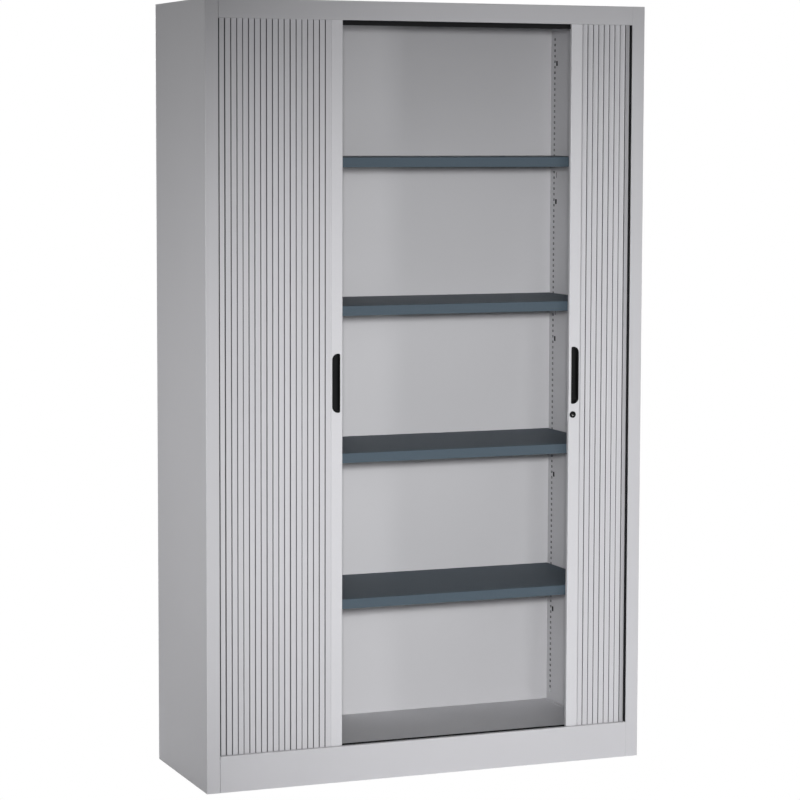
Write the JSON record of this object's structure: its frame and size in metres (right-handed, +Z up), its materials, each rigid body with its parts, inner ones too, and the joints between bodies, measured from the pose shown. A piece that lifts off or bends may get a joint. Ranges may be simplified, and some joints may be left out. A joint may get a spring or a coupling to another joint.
{
  "type": "roll front tool cabinet",
  "caption": "Tall sheet-steel cabinet with two slatted roll-front doors, recessed handles, a cam lock and adjustable shelves.",
  "frame": {"origin": "on the floor, under the middle of the case's footprint", "axes": "+Z up, +X to the right as seen from the front, doors facing -Y"},
  "size_m": [1.2, 0.42, 1.98],
  "materials": {
    "painted_case": "fine satin silver-grey powder coat",
    "painted_inside": "fine satin silver-grey powder coat",
    "painted_bar": "satin silver-grey paint on a steel profile",
    "anthracite": "satin blue-grey powder coat",
    "slat_grey": "satin extruded plastic",
    "track_black": "matt moulded plastic",
    "gloss_black": "gloss moulded plastic",
    "foot_black": "matt moulded plastic",
    "zinc_steel": "bright zinc plate",
    "lock_metal": "nickel plated"
  },
  "bodies": {
    "cabinet": {"back_panel": "painted_inside", "bottom_front_track": "track_black", "ceiling_panel": "painted_inside", "ceiling_track_screws": "zinc_steel", "floor_panel": "painted_inside", "floor_track_screws": "zinc_steel", "foot_brackets": "zinc_steel", "foot_nuts": "zinc_steel", "left_bottom_corner_track": "track_black", "left_bottom_side_track": "track_black", "left_curtain_corner": "slat_grey", "left_curtain_side": "slat_grey", "left_liner": "painted_inside", "left_side_panel": "painted_case", "left_top_corner_track": "track_black", "left_top_side_track": "track_black", "levelling_feet": "foot_black", "liner_screws": "zinc_steel", "plinth_front": "painted_case", "plinth_rear": "painted_case", "rail_screws": "zinc_steel", "rear_screws": "zinc_steel", "right_bottom_corner_track": "track_black", "right_bottom_side_track": "track_black", "right_curtain_corner": "slat_grey", "right_curtain_side": "slat_grey", "right_liner": "painted_inside", "right_side_panel": "painted_case", "right_top_corner_track": "track_black", "right_top_side_track": "track_black", "shelf_1": "anthracite", "shelf_2": "anthracite", "shelf_3": "anthracite", "shelf_4": "anthracite", "shelf_clips_1": "zinc_steel", "shelf_clips_2": "zinc_steel", "shelf_clips_3": "zinc_steel", "shelf_clips_4": "zinc_steel", "skirt_screws": "zinc_steel", "top_front_track": "track_black", "top_panel": "painted_case", "top_track_skirt": "track_black"},
    "left_door": {"left_end_bar": "painted_bar", "left_handle": "gloss_black", "left_guide_shoes": "track_black", "strike_plate": "zinc_steel", "left_curtain_front": "slat_grey"},
    "right_door": {"right_end_bar": "painted_bar", "right_handle": "gloss_black", "right_guide_shoes": "track_black", "lock_housing": "gloss_black", "right_curtain_front": "slat_grey"},
    "lock": {"lock_barrel": "lock_metal", "lock_cam": "zinc_steel", "cam_screw": "zinc_steel"}
  },
  "joints": [
    {"name": "left_door_slide", "type": "slide", "parent": "cabinet", "child": "left_door", "axis": [1, 0, 0], "range_m": [-0.279, 0.2347], "deforming": ["left_curtain_front"]},
    {"name": "right_door_slide", "type": "slide", "parent": "cabinet", "child": "right_door", "axis": [-1, 0, 0], "range_m": [-0.1184, 0.3953], "deforming": ["right_curtain_front"]},
    {"name": "lock_turn", "type": "hinge", "parent": "right_door", "child": "lock", "pos_m": [0.407, -0.1986, 0.919], "axis": [0, 1, 0], "range_deg": [0, 90]}
  ]
}
